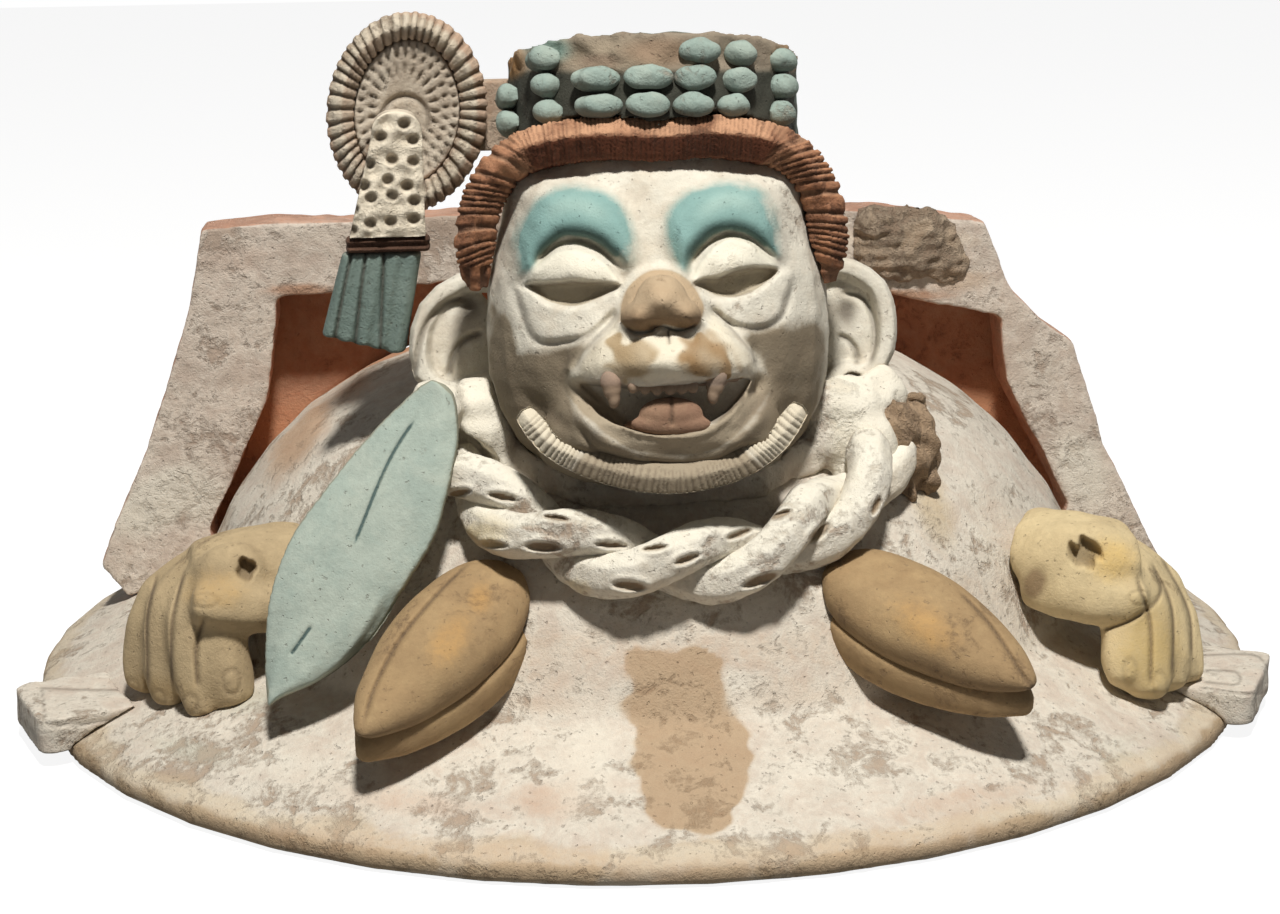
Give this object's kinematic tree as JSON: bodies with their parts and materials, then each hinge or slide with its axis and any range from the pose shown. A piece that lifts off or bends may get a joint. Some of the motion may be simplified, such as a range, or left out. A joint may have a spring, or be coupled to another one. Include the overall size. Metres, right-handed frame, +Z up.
{
  "type": "ceramic effigy vessel lid",
  "caption": "Fired-clay effigy censer lid: a flared lid with a grinning monkey's head, a twisted rope collar, a leaf, pods and hands in front of a framed back panel.",
  "frame": {"origin": "on the lid's vertical axis, in the plane that the brim rests on", "axes": "+Z up along the lid's axis, -Y to the front where the face looks, +X to the viewer's right of the face"},
  "size_m": [0.4298, 0.4288, 0.237],
  "materials": {
    "white_slip": "matt, worn white slip over brown clay",
    "panel_clay": "matt, mottled pinkish grey",
    "recess_clay": "matt red-brown",
    "bare_clay": "rough bare brown clay",
    "face_slip": "matt, slightly smoothed white slip",
    "hair_red": "matt red-brown paint",
    "blue_paint": "matt dusty blue-green paint",
    "ochre_paint": "matt yellow ochre paint, smoothed",
    "nose_stain": "matt, rubbed brown stain",
    "tooth_slip": "matt off-white",
    "tongue_stain": "matt pinkish brown"
  },
  "bodies": {
    "root": {"lid_brim": "white_slip", "lid_bell": "white_slip", "chimney_tube": "bare_clay", "back_wall": "recess_clay", "frame_beam": "panel_clay", "frame_leg_left": "panel_clay", "frame_leg_right": "panel_clay", "ornament_scar": "bare_clay", "head_skull": "face_slip", "brow_left": "blue_paint", "brow_right": "blue_paint", "eyelid_left": "face_slip", "eyelid_right": "face_slip", "nose": "nose_stain", "hair_roll": "hair_red", "beard_fringe": "face_slip", "upper_teeth": "tooth_slip", "tongue": "tongue_stain", "headdress_band": "blue_paint", "pellet_upper_1": "blue_paint", "pellet_upper_2": "blue_paint", "pellet_upper_3": "blue_paint", "pellet_upper_4": "blue_paint", "pellet_middle_1": "blue_paint", "pellet_middle_2": "blue_paint", "pellet_middle_3": "blue_paint", "pellet_middle_4": "blue_paint", "pellet_middle_5": "blue_paint", "pellet_middle_6": "blue_paint", "pellet_middle_7": "blue_paint", "pellet_lower_1": "blue_paint", "pellet_lower_2": "blue_paint", "pellet_lower_3": "blue_paint", "pellet_lower_4": "blue_paint", "pellet_lower_5": "blue_paint", "pellet_lower_6": "blue_paint", "pellet_lower_7": "blue_paint", "ornament_ring": "white_slip", "ornament_face": "white_slip", "ornament_pendant": "white_slip", "ornament_tie": "bare_clay", "ornament_tassel": "blue_paint", "neck_collar": "white_slip", "rope_strand_a": "white_slip", "rope_strand_b": "white_slip", "leaf_left": "blue_paint", "leaf_stub_right": "bare_clay", "ear_left": "face_slip", "ear_right": "face_slip", "lobe_ball_right": "bare_clay", "pod_left": "ochre_paint", "husk_left": "white_slip", "pod_right": "ochre_paint", "husk_right": "white_slip", "hand_left": "ochre_paint", "thumb_left": "ochre_paint", "hand_right": "ochre_paint", "thumb_right": "ochre_paint", "lug_left": "white_slip", "lug_right": "white_slip"}
  },
  "joints": []
}
